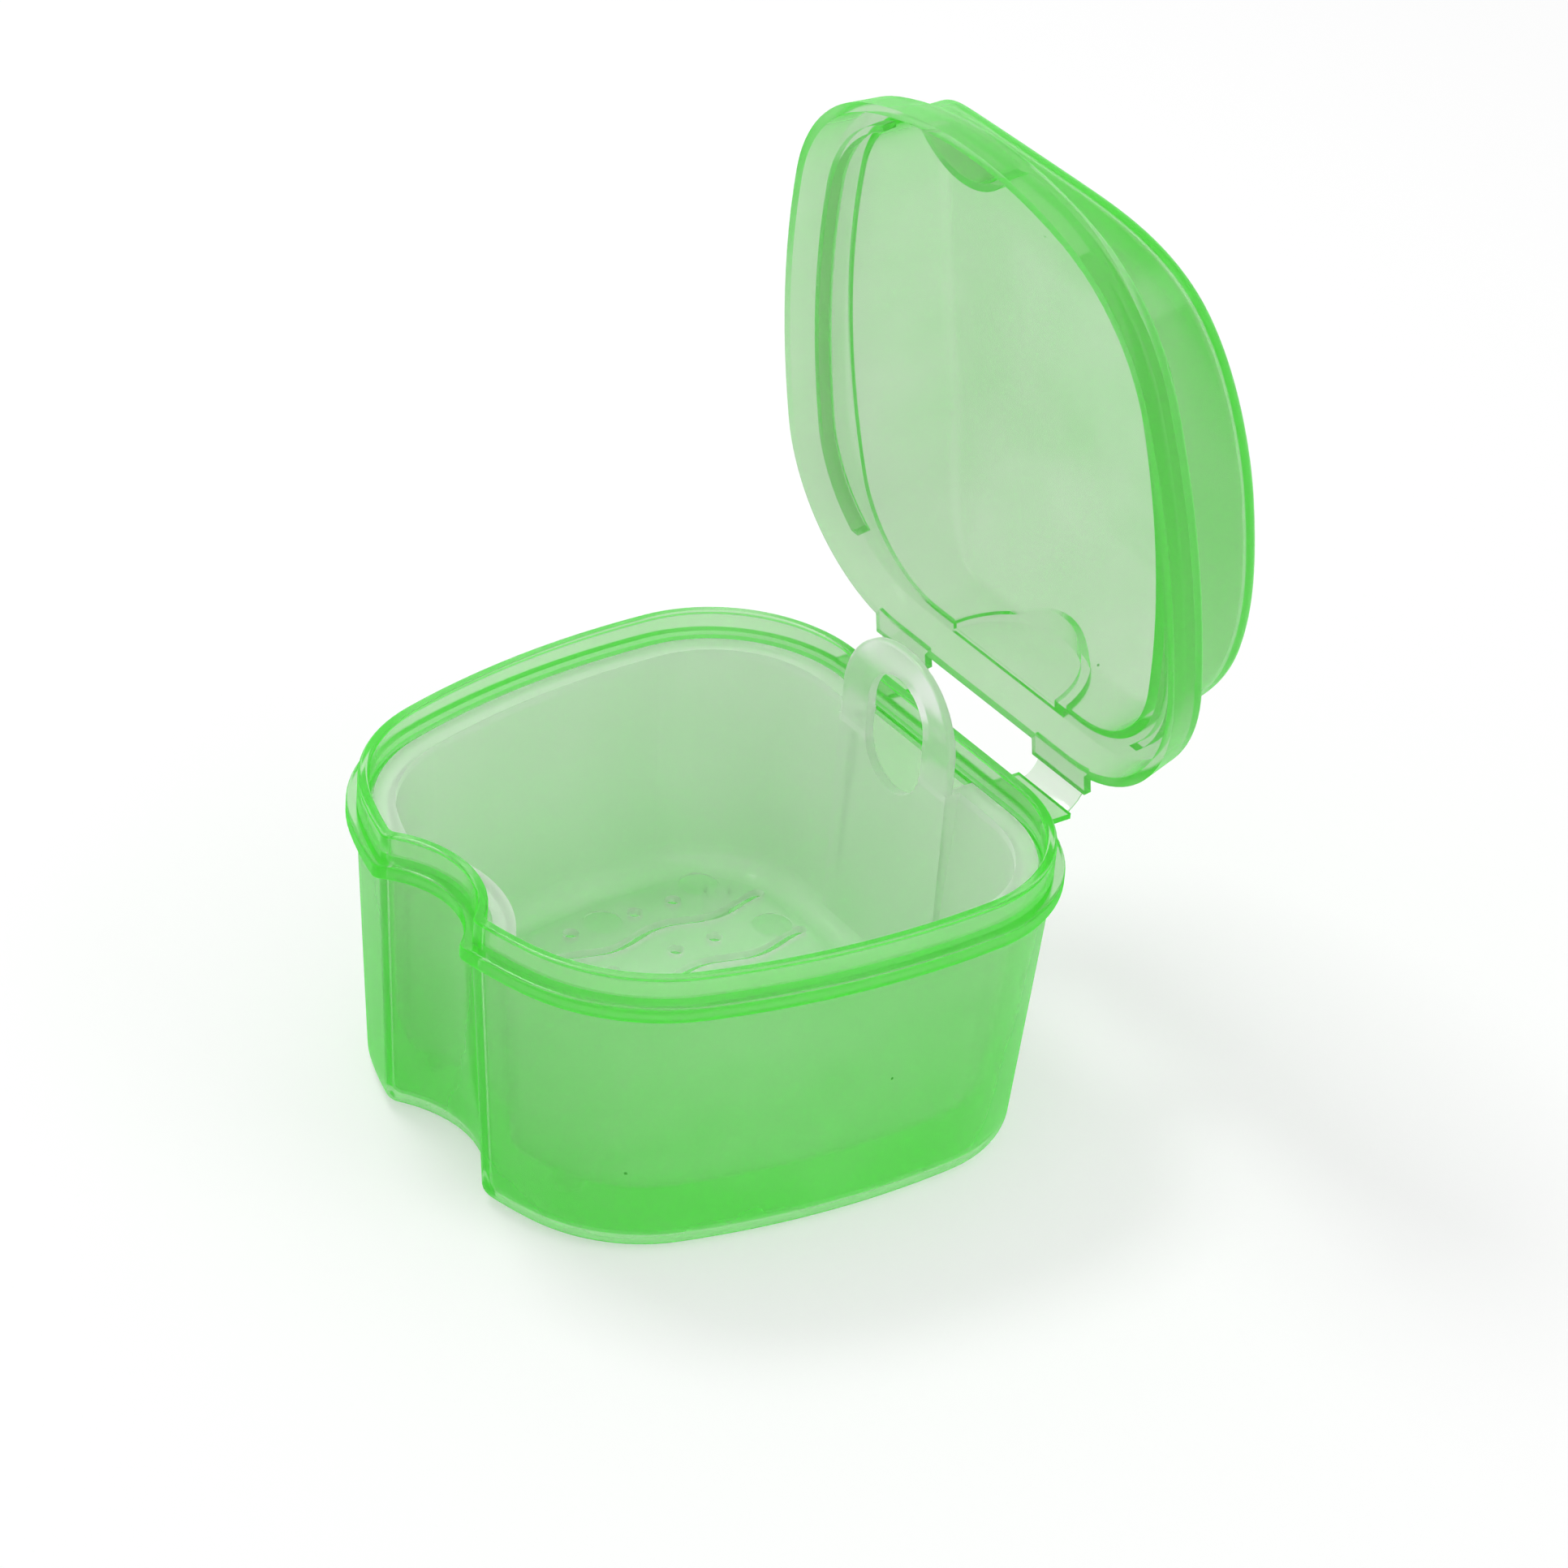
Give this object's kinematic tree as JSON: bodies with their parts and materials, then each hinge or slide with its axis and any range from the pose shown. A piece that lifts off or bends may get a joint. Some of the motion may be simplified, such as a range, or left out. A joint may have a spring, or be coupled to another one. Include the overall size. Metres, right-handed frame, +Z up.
{
  "type": "retainer case",
  "caption": "Translucent hinged retainer case with a domed lid, a thumb notch in the tub and a lift-out drain basket with a loop handle.",
  "frame": {"origin": "the middle of the tub's flat underside, on the surface that the case stands on, halfway across the case and near the middle of its depth", "axes": "+Z is up, +X runs across the case to the right as seen from the front, +Y points to the back, where the hinge is, and -Y to the front with the thumb notch"},
  "size_m": [0.0916, 0.1162, 0.1395],
  "materials": {
    "green_plastic": "gloss",
    "clear_plastic": "satin"
  },
  "bodies": {
    "tub": {"tub": "green_plastic", "hinge_web_left": "green_plastic", "hinge_web_right": "green_plastic"},
    "lid": {"lid": "green_plastic"},
    "basket": {"basket": "clear_plastic"}
  },
  "joints": [
    {"name": "lid_hinge", "type": "hinge", "parent": "tub", "child": "lid", "pos_m": [0, 0.05065, 0.044], "axis": [-1, 0, 0], "range_deg": [-82, 98], "deforming": ["hinge_web_left", "hinge_web_right"]},
    {"name": "basket_lift", "type": "slide", "parent": "tub", "child": "basket", "axis": [0, -0.0698, 0.9976], "range_m": [0, 0.15]}
  ]
}
